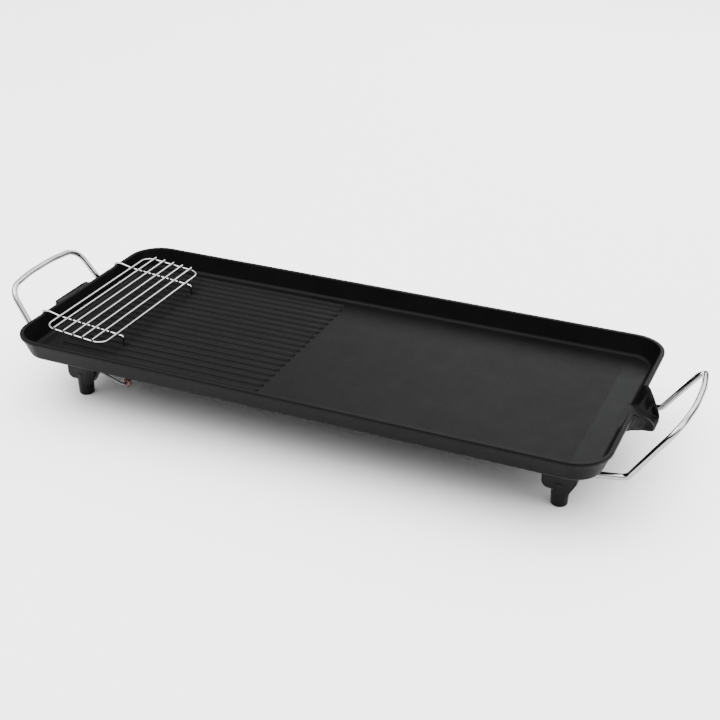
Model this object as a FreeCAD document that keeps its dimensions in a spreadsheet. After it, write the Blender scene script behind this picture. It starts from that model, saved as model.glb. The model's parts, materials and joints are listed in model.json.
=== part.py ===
import FreeCAD, Part
import math
import os
import Sketcher
from FreeCAD import Placement, Rotation, Vector

# Electric table griddle: a cast aluminium tray on four moulded legs, ridged at the left end, flat
# at the right end, with a spout in the right end wall, a wire rack hooked over the left rim, two
# bent rod handles, a probe socket under the left rim and a wire tilt stand.
# Millimetres. The origin is on the table under the middle of the tray, +X runs to the spout end,
# +Y to the back and +Z up.

document = FreeCAD.newDocument("ElectricGriddle")

sizes = {
    # tray
    "rim_length": 640.0, "rim_width": 277.0, "rim_corner": 36.0, "rim_height": 84.0,
    "tray_depth": 24.0, "floor_drop": 20.5, "lip_width": 4.3, "lip_depth": 3.0, "lip_step": 1.4,
    "outer_flare": 9.6, "inner_flare": 8.0, "floor_fillet": 5.0, "lip_round": 0.9,
    # ridges on the left part of the floor
    "ridge_pitch": 11.8, "ridge_width": 7.2, "ridge_rise": 2.3, "ridge_gutter": 13.0,
    "ridge_start": 27.0, "ridge_run": 236.0,
    # spout
    "spout_reach": 17.8, "spout_mouth": 20.0, "spout_throat": 26.0, "spout_top": 60.0,
    "spout_wall": 2.6, "spout_drop": 0.4, "spout_bulge": 2.2, "spout_hip": 10.5, "spout_cheek": 2.0,
    "spout_ease": 0.36, "beak_round": 5.0,
    # legs
    "leg_inset": 52.0, "leg_spread": 157.4, "leg_width": 35.0, "leg_depth": 17.0, "leg_lobe": 18.5,
    "leg_round": 8.0, "leg_corner": 2.5, "foot_top": 18.6, "foot_base": 16.4, "foot_round": 1.8,
    "foot_rise": 8.0, "gusset_top": 30.0, "gusset_step": 5.0,
    "boss_size": 12.0, "boss_length": 10.0, "boss_gap": 0.2,
    "screw_size": 4.0, "screw_head": 7.6, "screw_head_height": 2.6, "screw_recess": 30.0,
    "recess_size": 9.2, "washer_size": 8.8, "washer_thick": 0.8, "thread_bite": 8.0,
    "hole_play": 0.4, "thread_play": 0.2, "slot_width": 0.9, "slot_share": 0.62, "slot_depth": 0.5,
    # handles
    "rod_size": 6.5, "rod_height": 39.5, "rod_fit": 0.05, "rod_seat": 12.0, "rod_gap": 0.3,
    "handle_reach": 49.0, "handle_elbow": 7.8, "elbow_spread": 140.0, "grip_height": 98.0,
    "grip_width": 124.0, "grip_bow": 5.5, "elbow_bend": 9.0, "grip_bend": 20.0, "bow_bend": 160.0,
    "pin_size": 2.5, "pin_fit": 0.04, "pin_inset": 6.0,
    # heater and probe socket
    "heater_height": 53.5, "heater_size": 7.0, "heater_cast": 15.0, "heater_fit": 0.05,
    "heater_outer": 86.0, "heater_inner": 32.0, "heater_bend": 26.0, "heater_end": 82.0,
    "heater_knee": 8.0, "heater_elbow": 46.0, "heater_loop": 92.0, "cast_inset": 18.0,
    "terminal_spread": 36.0, "terminal_size": 5.0, "terminal_root": 4.2, "pin_recess": 1.0,
    "pin_tail": 6.0, "bush_size": 10.0, "bush_fit": 0.05, "bush_gap": 1.0,
    "probe_outer": 10.0, "probe_bore": 7.0, "probe_length": 64.0, "probe_cast": 16.0,
    "probe_inset": 10.0,
    "socket_width": 60.0, "socket_reach": 17.0, "socket_top": 75.5, "socket_base": 38.0,
    "socket_wall": 4.5, "socket_depth": 13.5, "socket_clear": 1.0, "socket_tail": 8.0,
    "socket_round": 3.5, "cavity_round": 4.0, "socket_ear": 7.0, "ear_inset": 18.0, "ear_thick": 4.0,
    "small_screw": 3.0, "small_head": 5.6, "small_head_height": 2.0, "small_bite": 2.4,
    # rack
    "wire_size": 2.5, "weld_sink": 0.2, "rack_inset": 23.0, "rack_width": 72.0,
    "rack_length": 202.0, "rack_corner": 12.0, "rack_drop": 7.0, "bar_count": 5.0,
    "bar_overhang": 1.2, "rail_steps": 12.0, "rack_clear": 0.3, "hook_drop": 9.0, "wire_bend": 3.0,
    "rack_leg_gap": 6.5, "rack_above": 0.5, "hook_lap": 4.0, "hook_run": 1.0,
    # tilt stand
    "stand_wire": 3.0, "stand_inset": 58.0, "stand_height": 51.8, "stand_width": 195.0,
    "stand_arm": 60.2, "stand_sag": 19.0, "stand_bend": 4.0, "stand_pin": 9.0, "stand_fit": 0.05,
    "bead_size": 10.0, "bead_length": 6.0, "bead_round": 2.4,
    "bracket_thick": 1.5, "bracket_width": 16.0, "bracket_foot": 18.0, "bracket_pad": 3.0,
    "bracket_drop": 4.5, "bracket_lap": 3.5, "bracket_edge": 2.5,
}

sheet = document.addObject("Spreadsheet::Sheet", "Sizes")
for row, (name, number) in enumerate(sizes.items(), start=1):
    sheet.set(f"A{row}", name)
    sheet.set(f"B{row}", str(number))
    sheet.setAlias(f"B{row}", name)
document.recompute()


def full(text):
    """Writes an expression's size names as cells of the sheet."""
    words = text.replace("(", " ( ").replace(")", " ) ").split()
    joined = " ".join("Sizes." + word if word in sizes else word for word in words)
    return joined.replace("cos (", "cos(").replace("sin (", "sin(")


def value(text):
    """Works out an expression of size names as a plain number."""
    return float(sheet.evalExpression(full(text)))


# heights and places that several pieces share
underside = "(rim_height - tray_depth)"
floor_level = "(rim_height - floor_drop)"
leg_x = "(rim_length / 2 - leg_inset)"
leg_y = "(leg_spread / 2)"
end_x = "(rim_length / 2)"
floor_half_length = "(rim_length / 2 - lip_width - inner_flare)"
floor_half_width = "(rim_width / 2 - lip_width - inner_flare)"
terminal_y = "(terminal_spread / 2)"
bead_y = "(stand_width / 2 - stand_bend - bead_length / 2)"
stand_x = "(0 - rim_length / 2 + stand_inset)"
ear_y = "(stand_width / 2 - stand_pin + bracket_lap)"
bracket_screw_y = "(stand_width / 2 - stand_pin + bracket_foot - bracket_edge)"
socket_face = "(0 - rim_length / 2 - socket_reach)"
socket_back = "(0 - rim_length / 2 + socket_tail)"
pin_root = "(0 - rim_length / 2 + socket_tail + pin_tail)"
ear_x = "(0 - rim_length / 2 + ear_inset)"
socket_screw_y = "(socket_width / 2)"

nodes = []


def keep(piece, label):
    """Names a finished piece and lists it for export."""
    piece.Label = label
    nodes.append(piece)
    return piece


# ---------------------------------------------------------------- sketches and features

def new_body(name):
    return document.addObject("PartDesign::Body", name)


def new_sketch(body, name, role, lift="0", across="0", along="0"):
    """A sketch on one of the body's own origin planes, moved along its normal and in its plane."""
    sketch = body.newObject("Sketcher::SketchObject", name)
    plane = next(item for item in body.Origin.OriginFeatures if item.Role == role)
    sketch.AttachmentSupport = [(plane, "")]
    sketch.MapMode = "FlatFace"
    for axis, text in (("x", across), ("y", along), ("z", lift)):
        sketch.setExpression(f"AttachmentOffset.Base.{axis}", full(text))
    return sketch


def bind(sketch, constraint, text):
    """Adds a dimension to a sketch and ties it to the sheet."""
    index = sketch.addConstraint(constraint)
    sketch.setExpression(f"Constraints[{index}]", full(text))


def pin_point(sketch, item, end, across, along):
    """Holds a point of the sketch at its distances from the sketch's origin."""
    for kind, text, axis in (("DistanceX", across, -2), ("DistanceY", along, -1)):
        if text == "0":
            sketch.addConstraint(Sketcher.Constraint("PointOnObject", item, end, axis))
        else:
            bind(sketch, Sketcher.Constraint(kind, -1, 1, item, end, value(text)), text)


def polygon(sketch, corners):
    """A closed polygon through corners, each a pair of expressions."""
    points = [Vector(value(across), value(along), 0) for across, along in corners]
    count = len(points)
    lines = [sketch.addGeometry(Part.LineSegment(points[index], points[(index + 1) % count]))
             for index in range(count)]
    for index in range(count):
        sketch.addConstraint(Sketcher.Constraint("Coincident", lines[index], 2,
                                                 lines[(index + 1) % count], 1))
    for line, (across, along) in zip(lines, corners):
        pin_point(sketch, line, 1, across, along)


def mirrored_outline(sketch, half):
    """A closed polygon symmetric about the sketch's X axis, from its upper half."""
    polygon(sketch, half + [(across, f"0 - ({along})") for across, along in reversed(half)])


def circle(sketch, size, across="0", along="0"):
    """A circle of the given diameter."""
    centre = Vector(value(across), value(along), 0)
    item = sketch.addGeometry(Part.Circle(centre, Vector(0, 0, 1), value(size) / 2))
    bind(sketch, Sketcher.Constraint("Diameter", item, value(size)), size)
    pin_point(sketch, item, 3, across, along)


def rounded_rectangle(sketch, length, width, corner):
    """A rectangle with round corners, centred on the sketch's origin."""
    half_x, half_y, round_off = value(length) / 2, value(width) / 2, value(corner)
    inner_x, inner_y = half_x - round_off, half_y - round_off
    centres = [(inner_x, inner_y), (-inner_x, inner_y), (-inner_x, -inner_y), (inner_x, -inner_y)]
    for turn, (x, y) in enumerate(centres):
        ring = Part.Circle(Vector(x, y, 0), Vector(0, 0, 1), round_off)
        sketch.addGeometry(Part.ArcOfCircle(ring, turn * math.pi / 2, (turn + 1) * math.pi / 2))
    arcs = [sketch.Geometry[index] for index in range(4)]
    for index in range(4):
        sketch.addGeometry(Part.LineSegment(arcs[index].EndPoint, arcs[(index + 1) % 4].StartPoint))
    for index in range(4):
        line = index + 4
        sketch.addConstraint(Sketcher.Constraint("Tangent", index, 2, line, 1))
        sketch.addConstraint(Sketcher.Constraint("Tangent", line, 2, (index + 1) % 4, 1))
        level = "Horizontal" if index % 2 == 0 else "Vertical"
        sketch.addConstraint(Sketcher.Constraint(level, line))
    for index in range(1, 4):
        sketch.addConstraint(Sketcher.Constraint("Equal", 0, index))
    sketch.addConstraint(Sketcher.Constraint("Symmetric", 0, 3, 2, 3, -1, 1))
    bind(sketch, Sketcher.Constraint("Radius", 0, round_off), corner)
    bind(sketch, Sketcher.Constraint("DistanceX", 5, 1, 7, 1, 2 * half_x), length)
    bind(sketch, Sketcher.Constraint("DistanceY", 6, 1, 4, 1, 2 * half_y), width)


def pad(body, sketch, length, reverse=False, middle=False):
    feature = body.newObject("PartDesign::Pad", sketch.Name + "Pad")
    feature.Profile = sketch
    feature.setExpression("Length", full(length))
    feature.Reversed = reverse
    feature.Midplane = middle
    return feature


def pocket(body, sketch, length, reverse=False, middle=False):
    """Cuts a sketch into the body, and stops if the cut removed nothing."""
    document.recompute()
    before = body.Shape.Volume
    feature = body.newObject("PartDesign::Pocket", sketch.Name + "Pocket")
    feature.Profile = sketch
    feature.setExpression("Length", full(length))
    feature.Reversed = reverse
    feature.Midplane = middle
    document.recompute()
    if body.Shape.Volume > before - 1e-3:
        raise RuntimeError(f"{feature.Name} cuts nothing")
    return feature


def loft(body, kind, name, sketches):
    feature = body.newObject(f"PartDesign::{kind}Loft", name)
    feature.Profile = sketches[0]
    feature.Sections = sketches[1:]
    feature.Ruled = True
    return feature


def revolve(body, sketch, axis, turn=360.0):
    feature = body.newObject("PartDesign::Revolution", sketch.Name + "Turn")
    feature.Profile = sketch
    feature.ReferenceAxis = (sketch, [axis])
    feature.Angle = turn
    return feature


def fillet(body, name, size, picks):
    """Rounds the edges of the body's last feature that picks accepts."""
    document.recompute()
    base = body.Tip
    edges = [f"Edge{number}" for number, edge in enumerate(base.Shape.Edges, start=1) if picks(edge)]
    if not edges:
        raise RuntimeError(f"{name} found no edge")
    feature = body.newObject("PartDesign::Fillet", name)
    feature.Base = (base, edges)
    feature.setExpression("Radius", full(size))
    return feature


def at_level(height):
    """Accepts edges that lie wholly at one height."""
    return lambda edge: all(abs(vertex.Z - height) < 1e-4 for vertex in edge.Vertexes)


def place(piece, x="0", y="0", z="0", turn=None):
    """Puts a piece at a place given in sizes, turned if asked."""
    if turn:
        piece.Placement = Placement(Vector(0, 0, 0), turn)
    for axis, text in (("x", x), ("y", y), ("z", z)):
        piece.setExpression(f"Placement.Base.{axis}", full(text))
    return piece


# ---------------------------------------------------------------- bent rod and wire

def bent_path(points, bend, closed=False):
    """Straight runs through points, joined by tangent arcs; bend is one radius or a list."""
    points = [Vector(*point) for point in points]
    count = len(points)
    corners = range(count) if closed else range(1, count - 1)
    cuts = {}
    bends = bend if isinstance(bend, list) else [bend] * count
    for index in corners:
        corner = points[index]
        back = (points[index - 1] - corner).normalize()
        ahead = (points[(index + 1) % count] - corner).normalize()
        half_turn = (math.pi - back.getAngle(ahead)) / 2
        reach = bends[index] * math.tan(half_turn)
        middle = (back + ahead).normalize() * (bends[index] / math.cos(half_turn) - bends[index])
        cuts[index] = (corner + back * reach, corner + middle, corner + ahead * reach)
    edges = []
    for index in range(count if closed else count - 1):
        start = cuts[index][2] if index in cuts else points[index]
        after = (index + 1) % count
        stop = cuts[after][0] if after in cuts else points[after]
        edges.append(Part.LineSegment(start, stop).toShape())
        if after in cuts:
            edges.append(Part.Arc(*cuts[after]).toShape())
    return Part.Wire(edges)


def rod(points, size, bend, closed=False):
    """A round rod along a bent path."""
    path = bent_path(points, bend, closed)
    first = path.Edges[0]
    start = first.valueAt(first.FirstParameter)
    ring = Part.makeCircle(size / 2, start, first.tangentAt(first.FirstParameter))
    return path.makePipeShell([Part.Wire(ring)], True, False)


def shaped(name, shape):
    """A piece whose shape is made from the sheet's numbers by this script."""
    piece = document.addObject("Part::Feature", name)
    piece.Shape = shape
    return piece


# ---------------------------------------------------------------- tray

def make_tray():
    body = new_body("Tray")
    rim = new_sketch(body, "RimOutline", "XY_Plane", "rim_height")
    rounded_rectangle(rim, "rim_length", "rim_width", "rim_corner")
    pad(body, rim, "lip_depth", reverse=True)

    wall_top = new_sketch(body, "WallTop", "XY_Plane", "rim_height - lip_depth")
    rounded_rectangle(wall_top, "rim_length - 2 * lip_step", "rim_width - 2 * lip_step",
                      "rim_corner - lip_step")
    wall_base = new_sketch(body, "WallBase", "XY_Plane", underside)
    rounded_rectangle(wall_base, "rim_length - 2 * outer_flare", "rim_width - 2 * outer_flare",
                      "rim_corner - outer_flare")
    loft(body, "Additive", "OuterWall", [wall_top, wall_base])
    fillet(body, "HeelRound", "floor_fillet", at_level(value(underside)))

    mouth = new_sketch(body, "TrayMouth", "XY_Plane", "rim_height")
    rounded_rectangle(mouth, "rim_length - 2 * lip_width", "rim_width - 2 * lip_width",
                      "rim_corner - lip_width")
    base = new_sketch(body, "TrayFloor", "XY_Plane", floor_level)
    rounded_rectangle(base, f"2 * {floor_half_length}", f"2 * {floor_half_width}",
                      "rim_corner - lip_width - inner_flare")
    loft(body, "Subtractive", "TrayWell", [mouth, base])
    fillet(body, "FloorRound", "floor_fillet", at_level(value(floor_level)))
    fillet(body, "LipRound", "lip_round", at_level(value("rim_height")))
    add_spout(body)
    cut_spout(body)
    add_ridges(body)
    add_bosses(body)
    return body


def between(corner, neighbour):
    """The point a part of the way from a corner to its neighbour, which eases the corner."""
    return tuple(f"({near}) * (1 - spout_ease) + ({far}) * spout_ease"
                 for near, far in zip(corner, neighbour))


def spout_plan(root, shoulder, hip, throat, wall, tip="0"):
    """Half the spout's plan: root x, shoulder x, then half widths at root, hip and mouth."""
    mouth_x = f"rim_length / 2 + spout_reach + {tip}"
    cheek = (shoulder, f"{throat} + {wall}")
    corner = (f"{shoulder} + spout_hip", f"{hip} + {wall}")
    mouth = (mouth_x, f"spout_mouth / 2 + {wall}")
    return [(root, f"{throat} + 1 + {wall}"), cheek, between(corner, cheek), between(corner, mouth),
            mouth]


def add_spout(body):
    """The solid beak that grows out of the end wall."""
    low = new_sketch(body, "BeakBase", "XY_Plane", f"{underside} - spout_drop")
    mirrored_outline(low, spout_plan(f"{floor_half_length} + 1", f"{floor_half_length} + 2",
                                     "spout_throat / 2", "(spout_throat - spout_cheek)", "spout_wall"))
    top = new_sketch(body, "BeakTop", "XY_Plane", "rim_height")
    mirrored_outline(top, spout_plan("rim_length / 2 - lip_width + 1", "rim_length / 2 - 3",
                                     "(spout_top / 2 - 4)", "spout_top / 2", "spout_wall"))
    loft(body, "Additive", "Beak", [low, top])
    fillet(body, "BeakRound", "beak_round", mouth_edge)


def cut_spout(body):
    """The channel through the end wall, and the fall of the beak's rim to its mouth."""
    root = f"{floor_half_length} - floor_fillet"
    low = new_sketch(body, "ChannelBase", "XY_Plane", f"{floor_level} - spout_drop")
    mirrored_outline(low, spout_plan(root, f"{floor_half_length} + 1", "spout_throat / 2",
                                     "(spout_throat - spout_cheek)", "0", "2"))
    top = new_sketch(body, "ChannelTop", "XY_Plane", "rim_height")
    mirrored_outline(top, spout_plan(root, "rim_length / 2 - 3", "(spout_top / 2 - 4)",
                                     "spout_top / 2", "0", "2"))
    loft(body, "Subtractive", "Channel", [low, top])

    fall = new_sketch(body, "RimFall", "XZ_Plane")
    near, far = end_x, "(rim_length / 2 + spout_reach)"
    low, high = f"({floor_level} + spout_drop)", "rim_height"
    start, tip = (Vector(value(x), value(z), 0) for x, z in ((near, high), (far, low)))
    middle = (start + tip) / 2 + Vector(0.6, 0.8, 0) * value("spout_bulge")
    curve = fall.addGeometry(Part.Arc(start, middle, tip))
    first = 1 if fall.getPoint(curve, 1).distanceToPoint(start) < 1e-3 else 2
    corners = [(far, low), (f"{far} + 4", low), (f"{far} + 4", f"{high} + 4"), (near, f"{high} + 4"),
               (near, high)]
    points = [Vector(value(x), value(z), 0) for x, z in corners]
    lines = [fall.addGeometry(Part.LineSegment(points[index], points[index + 1]))
             for index in range(len(points) - 1)]
    for index in range(len(lines) - 1):
        fall.addConstraint(Sketcher.Constraint("Coincident", lines[index], 2, lines[index + 1], 1))
    fall.addConstraint(Sketcher.Constraint("Coincident", curve, 3 - first, lines[0], 1))
    fall.addConstraint(Sketcher.Constraint("Coincident", curve, first, lines[-1], 2))
    for line, (across, along) in zip(lines, corners):
        pin_point(fall, line, 1, across, along)
    pin_point(fall, lines[-1], 2, near, high)
    fall_height = "(floor_drop - spout_drop)"
    chord = f"(spout_reach * spout_reach + {fall_height} * {fall_height})"
    radius = f"({chord} / (8 * spout_bulge) + spout_bulge / 2)"
    bind(fall, Sketcher.Constraint("Radius", curve, value(radius)), radius)
    pocket(body, fall, "spout_top + 40", middle=True)


def mouth_edge(edge):
    """The beak's two upright corners at its mouth."""
    box = edge.BoundBox
    return box.ZLength > value("tray_depth / 2") and box.XMin > value(f"{end_x} + spout_reach / 2")


def add_ridges(body):
    """Long low ridges with ball ends, one turned and then repeated across the floor."""
    width, rise = value("ridge_width"), value("ridge_rise")
    arc_radius = (width * width / 4 + rise * rise) / (2 * rise)
    radius = "((ridge_width * ridge_width / 4 + ridge_rise * ridge_rise) / (2 * ridge_rise))"
    count = math.floor(value(f"2 * ({floor_half_width} - ridge_gutter) / ridge_pitch")) + 1
    span = f"(ridge_pitch * {count - 1})"
    left = f"(0 - {floor_half_length} + ridge_start)"
    sketch = new_sketch(body, "RidgeHalf", "XZ_Plane", f"{span} / 2", left,
                        f"{floor_level} + ridge_rise - {radius}")
    run = value("ridge_run")
    points = [Vector(0, 0, 0), Vector(run, 0, 0)]
    sketch.addGeometry(Part.LineSegment(points[0] - Vector(arc_radius, 0, 0),
                                        points[1] + Vector(arc_radius, 0, 0)))
    for centre, start in ((points[1], 0.0), (points[0], math.pi / 2)):
        ring = Part.Circle(centre, Vector(0, 0, 1), arc_radius)
        sketch.addGeometry(Part.ArcOfCircle(ring, start, start + math.pi / 2))
    top = [Vector(run, arc_radius, 0), Vector(0, arc_radius, 0)]
    sketch.addGeometry(Part.LineSegment(top[0], top[1]))
    joins = ((0, 2, 1, 1), (1, 2, 3, 1), (3, 2, 2, 1), (2, 2, 0, 1))
    for first, first_end, second, second_end in joins:
        sketch.addConstraint(Sketcher.Constraint("Coincident", first, first_end,
                                                 second, second_end))
    sketch.addConstraint(Sketcher.Constraint("PointOnObject", 1, 3, -1))
    sketch.addConstraint(Sketcher.Constraint("PointOnObject", 0, 2, -1))
    sketch.addConstraint(Sketcher.Constraint("Coincident", 2, 3, -1, 1))
    sketch.addConstraint(Sketcher.Constraint("PointOnObject", 0, 1, -1))
    sketch.addConstraint(Sketcher.Constraint("Equal", 1, 2))
    sketch.addConstraint(Sketcher.Constraint("Vertical", 3, 1, 1, 3))
    sketch.addConstraint(Sketcher.Constraint("Vertical", 3, 2, 2, 3))
    bind(sketch, Sketcher.Constraint("Radius", 1, arc_radius), radius)
    bind(sketch, Sketcher.Constraint("DistanceX", -1, 1, 1, 3, run), "ridge_run")
    ridge = revolve(body, sketch, "H_Axis", 180.0)
    ridge.Midplane = True
    document.recompute()
    pattern = body.newObject("PartDesign::LinearPattern", "Ridges")
    pattern.Originals = [ridge]
    axis = next(item for item in body.Origin.OriginFeatures if item.Role == "Y_Axis")
    pattern.Direction = (axis, [""])
    pattern.Occurrences = count
    pattern.setExpression("Length", full(span))
    body.Tip = pattern


def add_bosses(body):
    """Screw bosses under the floor for the legs, stand brackets and socket ears."""
    places = [(side_x, side_y) for side_x in ("", "0 - ") for side_y in ("", "0 - ")]
    legs = new_sketch(body, "LegBosses", "XY_Plane", underside)
    for side_x, side_y in places:
        circle(legs, "boss_size", side_x + leg_x, side_y + leg_y)
    pad(body, legs, "boss_length", reverse=True)

    pads = new_sketch(body, "BracketPads", "XY_Plane", underside)
    for side_y in ("", "0 - "):
        circle(pads, "bracket_width", stand_x, f"{side_y}({bracket_screw_y})")
    pad(body, pads, "bracket_pad", reverse=True)

    holes = new_sketch(body, "LegScrewHoles", "XY_Plane", f"{underside} - boss_length")
    for side_x, side_y in places:
        circle(holes, "screw_size", side_x + leg_x, side_y + leg_y)
    pocket(body, holes, "thread_bite + 1", reverse=True)

    small = new_sketch(body, "SmallScrewHoles", "XY_Plane", f"{underside} - bracket_pad")
    for side_y in ("", "0 - "):
        circle(small, "small_screw", stand_x, f"{side_y}({bracket_screw_y})")
        circle(small, "small_screw", ear_x, side_y + socket_screw_y)
    pocket(body, small, "bracket_pad + small_bite", reverse=True)


def heater_points(start):
    """The heater's route: two U turns at the spout end and one at the socket end."""
    outer, inner = value("heater_outer"), value("heater_inner")
    near, far = value(terminal_y), value(f"{end_x} - heater_end")
    knee, elbow, loop = (value(f"{leg_x} - {name}") for name in
                         ("heater_knee", "heater_elbow", "heater_loop"))
    half = [(start, near), (-knee, near), (-elbow, outer), (far, outer), (far, inner), (-loop, inner)]
    height = value("heater_height")
    return ([(x, -y, height) for x, y in half] + [(x, y, height) for x, y in reversed(half)])


def make_griddle_plate():
    """The tray with the heater cast into a rib below it and the probe's bore."""
    tray = make_tray()
    cast_start = value(f"{pin_root} + cast_inset")
    bend = value("heater_bend")
    rib = shaped("HeaterRib", rod(heater_points(cast_start), value("heater_cast"), bend))
    channel = shaped("HeaterChannel", rod(heater_points(value(socket_back)),
                                          value("heater_size + 2 * heater_fit"), bend))
    block = document.addObject("Part::Cylinder", "ProbeBlock")
    block.setExpression("Radius", full("probe_cast / 2"))
    block.setExpression("Height", full("probe_length - cast_inset"))
    place(block, f"{pin_root} + probe_inset", "0", "heater_height", Rotation(Vector(0, 1, 0), 90))
    bore = document.addObject("Part::Cylinder", "ProbeBore")
    bore.setExpression("Radius", full("probe_outer / 2 + bush_fit"))
    bore.setExpression("Height", full("probe_length"))
    place(bore, f"{socket_back} - 4", "0", "heater_height", Rotation(Vector(0, 1, 0), 90))
    whole = document.addObject("Part::MultiFuse", "TrayWithRibs")
    whole.Shapes = [tray, rib, block]
    holes = document.addObject("Part::MultiFuse", "TrayBores")
    holes.Shapes = [channel, bore]
    plate = document.addObject("Part::Cut", "GriddlePlate")
    plate.Base = whole
    plate.Tool = holes
    return keep(plate, "griddle_plate")


# ---------------------------------------------------------------- heater and probe socket

def tube_along_x(name, outer, inner, length, x, y="0", z="heater_height"):
    """A tube, or a pin where inner is 0, that runs along +X from x."""
    body = new_body(name)
    sketch = new_sketch(body, name + "Ring", "YZ_Plane")
    circle(sketch, outer)
    if inner != "0":
        circle(sketch, inner)
    pad(body, sketch, length)
    return place(body, x, y, z)


def compound(name, pieces):
    group = document.addObject("Part::Compound", name)
    group.Links = pieces
    return group


def make_heater():
    path = heater_points(value(pin_root))
    element = shaped("HeatingElement", rod(path, value("heater_size"),
                                           value("heater_bend")))
    keep(element, "heating_element")
    pins, bushes = [], []
    for side, name in (("", "Rear"), ("0 - ", "Front")):
        across = side + terminal_y
        pin = tube_along_x(name + "Terminal", "terminal_size", "0", "socket_depth - pin_recess",
                           f"{socket_face} + pin_recess", across)
        root = new_sketch(pin, name + "TerminalRoot", "YZ_Plane")
        circle(root, "terminal_root")
        pad(pin, root, f"{pin_root} - {socket_face} - pin_recess")
        pins.append(pin)
        bushes.append(tube_along_x(name + "Bush", "bush_size",
                                   "terminal_root + 2 * bush_fit",
                                   f"{pin_root} - {socket_face} - socket_depth - bush_gap",
                                   f"{socket_face} + socket_depth + bush_gap", across))
    for body in pins:
        fillet(body, body.Name + "Nose", "terminal_size / 4", lambda edge: edge.BoundBox.XMax < 0.01)
    keep(compound("TerminalPins", pins), "terminal_pins")
    keep(compound("TerminalBushes", bushes), "terminal_bushes")
    sleeve = tube_along_x("ProbeSleeve", "probe_outer", "probe_bore", "probe_length",
                          f"{socket_face} + socket_depth + bush_gap")
    keep(sleeve, "probe_sleeve")


def make_socket():
    """The moulded housing the controller plugs into; its top stands out past the left rim."""
    body = new_body("SocketHousing")
    side = new_sketch(body, "SocketSide", "XZ_Plane")
    step = "(0 - rim_length / 2 - socket_clear)"
    roof = underside
    polygon(side, [(socket_face, "socket_base"), (socket_face, "socket_top"),
                   (step, "socket_top"), (step, roof), (socket_back, roof),
                   (socket_back, "socket_base")])
    pad(body, side, "socket_width", middle=True)
    ears = new_sketch(body, "SocketEars", "XY_Plane", roof)
    for sign in ("", "0 - "):
        circle(ears, "2 * socket_ear", ear_x, sign + socket_screw_y)
    pad(body, ears, "ear_thick", reverse=True)
    web = new_sketch(body, "SocketWebs", "XY_Plane", roof)
    for sign in ("", "0 - "):
        near, far = f"{sign}({socket_screw_y} - socket_ear)", sign + socket_screw_y
        corners = [(f"{socket_back} - 2", near), (ear_x, near), (ear_x, far),
                   (f"{socket_back} - 2", far)]
        polygon(web, corners)
    pad(body, web, "ear_thick", reverse=True)
    fillet(body, "SocketCorners", "socket_round", outer_upright)
    cavity = new_sketch(body, "SocketCavity", "YZ_Plane", socket_face, "0",
                        "(socket_base + socket_top) / 2")
    rounded_rectangle(cavity, "socket_width - 2 * socket_wall",
                      "socket_top - socket_base - 2 * socket_wall", "cavity_round")
    pocket(body, cavity, "socket_depth", reverse=True)
    bores = new_sketch(body, "SocketBores", "YZ_Plane", f"{socket_face} + socket_depth - 1",
                       "0", "heater_height")
    for sign in ("", "0 - "):
        circle(bores, "bush_size + 2 * bush_fit", sign + terminal_y)
    circle(bores, "probe_outer + 2 * bush_fit")
    pocket(body, bores, "socket_reach + socket_tail", reverse=True)
    holes = new_sketch(body, "SocketEarHoles", "XY_Plane", roof)
    for sign in ("", "0 - "):
        circle(holes, "small_screw + hole_play", ear_x, sign + socket_screw_y)
    pocket(body, holes, "ear_thick + 1")
    keep(body, "socket_housing")


def outer_upright(edge):
    """The housing's two upright corners at its open face."""
    return edge.BoundBox.ZLength > 20 and edge.BoundBox.XMax < value(socket_face) + 0.01


# ---------------------------------------------------------------- legs and fasteners

def make_leg(label, side_x, side_y):
    """A moulded leg: a block with a round lobe at its left and a gusset at its right, on a foot."""
    body = new_body(label.title().replace("_", ""))
    side = new_sketch(body, "LegSide", "XZ_Plane")
    half = "(leg_width / 2)"
    polygon(side, [(f"0 - {half}", underside), (f"0 - {half}", "leg_lobe"),
                   ("0", "leg_lobe"), ("foot_top / 2 - 1", "leg_lobe - gusset_step"),
                   (half, "gusset_top"), (half, underside)])
    pad(body, side, "leg_depth", middle=True)
    fillet(body, "LobeRound", "leg_round", lobe_edge)
    fillet(body, "LegCorners", "leg_corner", leg_upright)
    foot = new_sketch(body, "FootHalf", "XZ_Plane")
    polygon(foot, [("0", "0"), ("foot_base / 2", "0"), ("foot_top / 2", "leg_lobe + foot_rise"),
                   ("0", "leg_lobe + foot_rise")])
    revolve(body, foot, "V_Axis")
    fillet(body, "FootRound", "foot_round", at_level(0))
    recess = new_sketch(body, "ScrewRecess", "XY_Plane")
    circle(recess, "recess_size")
    pocket(body, recess, "screw_recess", reverse=True)
    shank = new_sketch(body, "ShankHole", "XY_Plane")
    circle(shank, "screw_size + hole_play")
    pocket(body, shank, f"{underside} - 1", reverse=True)
    seat = new_sketch(body, "BossSeat", "XY_Plane", underside)
    circle(seat, "boss_size + 2 * boss_gap")
    pocket(body, seat, "boss_length")
    bore = new_sketch(body, "RodBore", "YZ_Plane", side_x + half)
    circle(bore, "rod_size + 2 * rod_fit", "0", "rod_height")
    pocket(body, bore, "rod_seat", reverse=bool(side_x))
    pin = new_sketch(body, "PinHole", "XZ_Plane")
    circle(pin, "pin_size + 2 * pin_fit", f"{side_x}({half} - pin_inset)", "rod_height")
    pocket(body, pin, "leg_depth + 2", middle=True)
    place(body, side_x + leg_x, side_y + leg_y)
    keep(body, label)


def lobe_edge(edge):
    """The block's lower left edge, across the leg."""
    box = edge.BoundBox
    low = abs(box.ZMin - value("leg_lobe")) < 1e-4 and box.ZLength < 1e-4
    return low and abs(box.XMax + value("leg_width") / 2) < 1e-4


def leg_upright(edge):
    """The block's four upright corners."""
    box = edge.BoundBox
    return box.ZLength > 15 and box.XLength < 1e-4 and abs(abs(box.XMax) - value("leg_width") / 2) < 1e-4


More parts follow.
